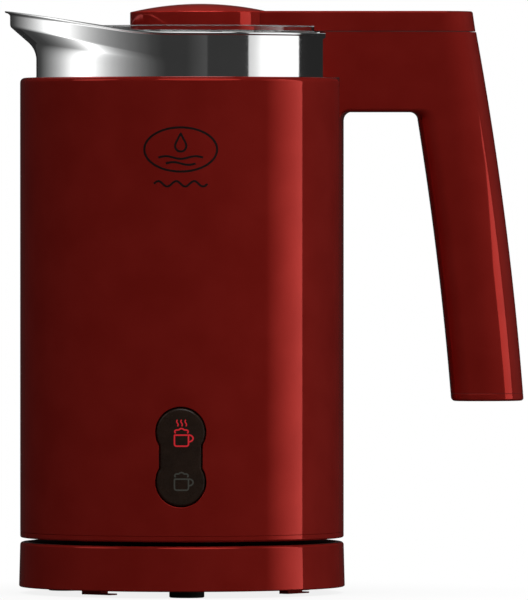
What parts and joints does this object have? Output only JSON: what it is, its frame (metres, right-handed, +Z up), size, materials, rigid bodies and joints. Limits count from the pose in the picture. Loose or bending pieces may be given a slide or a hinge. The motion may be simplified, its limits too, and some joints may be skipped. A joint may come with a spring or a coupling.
{
  "type": "milk frothing pitcher",
  "caption": "Electric milk frothing pitcher: steel pot with a wide pouring spout in a round lacquered body, drop handle, clear lid with a domed knob, rocker button and a round power base.",
  "frame": {"origin": "on the jug's axis at the level of the table, midway between the contact points of the three rubber feet", "axes": "+Z up along the jug's axis, +X towards the handle, -X towards the spout, -Y towards the front with the rocker button"},
  "size_m": [0.1763, 0.112, 0.2001],
  "materials": {
    "red_lacquer": "gloss",
    "black_plastic": "satin",
    "grey_plastic": "satin",
    "polished_steel": "polished",
    "plated_steel": "satin",
    "brass": "satin",
    "rubber": "matte",
    "silicone": "satin",
    "clear_plastic": "gloss",
    "circuit_board": "satin",
    "lamp": "gloss",
    "magnet": "satin"
  },
  "bodies": {
    "base": {"base_housing": "red_lacquer", "base_deck_plate": "black_plastic", "base_bottom_plate": "red_lacquer", "base_feet": "rubber", "base_screws": "plated_steel", "base_connector": "black_plastic", "base_contacts": "brass", "cord_gland": "rubber"},
    "shutter": {"connector_shutter": "grey_plastic"},
    "jug": {"outer_shell": "red_lacquer", "bottom_cover": "red_lacquer", "bottom_screws": "plated_steel", "jug_connector": "black_plastic", "jug_contacts": "brass", "control_board": "circuit_board", "board_screws": "plated_steel", "board_components": "black_plastic", "rocker_pin": "plated_steel", "button_frame": "black_plastic", "button_board": "circuit_board", "button_switches": "grey_plastic", "indicator_leds": "lamp", "steel_pot": "polished_steel", "pot_seal": "silicone", "spindle_pin": "polished_steel", "heater_ring": "plated_steel", "thermostat": "grey_plastic", "motor_bracket": "plated_steel", "motor_can": "plated_steel", "handle_shell": "red_lacquer", "handle_core": "plated_steel", "handle_screws": "plated_steel", "handle_end_cap": "red_lacquer"},
    "rocker": {"rocker_button": "black_plastic"},
    "rotor": {"motor_shaft": "plated_steel", "magnet_carrier": "black_plastic", "drive_magnets": "magnet"},
    "whisk": {"whisk_hub": "grey_plastic", "whisk_magnets": "magnet", "whisk_coil": "polished_steel"},
    "lid": {"lid_plate": "clear_plastic", "lid_seal": "silicone", "lid_knob": "red_lacquer", "lid_arm": "red_lacquer", "lid_screws": "plated_steel"}
  },
  "joints": [
    {"name": "base_swivel", "type": "hinge", "parent": "base", "child": "shutter", "pos_m": [0, 0, 0.0175], "axis": [0, 0, 1], "continuous": true},
    {"name": "jug_lift", "type": "slide", "parent": "shutter", "child": "jug", "axis": [0, 0, 1], "range_m": [0, 0.06]},
    {"name": "lid_lift", "type": "slide", "parent": "jug", "child": "lid", "axis": [0, 0, 1], "range_m": [0, 0.045]},
    {"name": "rocker_tip", "type": "hinge", "parent": "jug", "child": "rocker", "pos_m": [0, -0.05, 0.0474], "axis": [1, 0, 0], "range_deg": [-2.5, 2.5], "stiffness_Nm_per_rad": 0.15},
    {"name": "drive_spin", "type": "hinge", "parent": "jug", "child": "rotor", "pos_m": [0, 0, 0.08], "axis": [0, 0, 1], "continuous": true},
    {"name": "whisk_lift", "type": "slide", "parent": "rotor", "child": "whisk", "axis": [0, 0, 1], "range_m": [0, 0.025]}
  ]
}
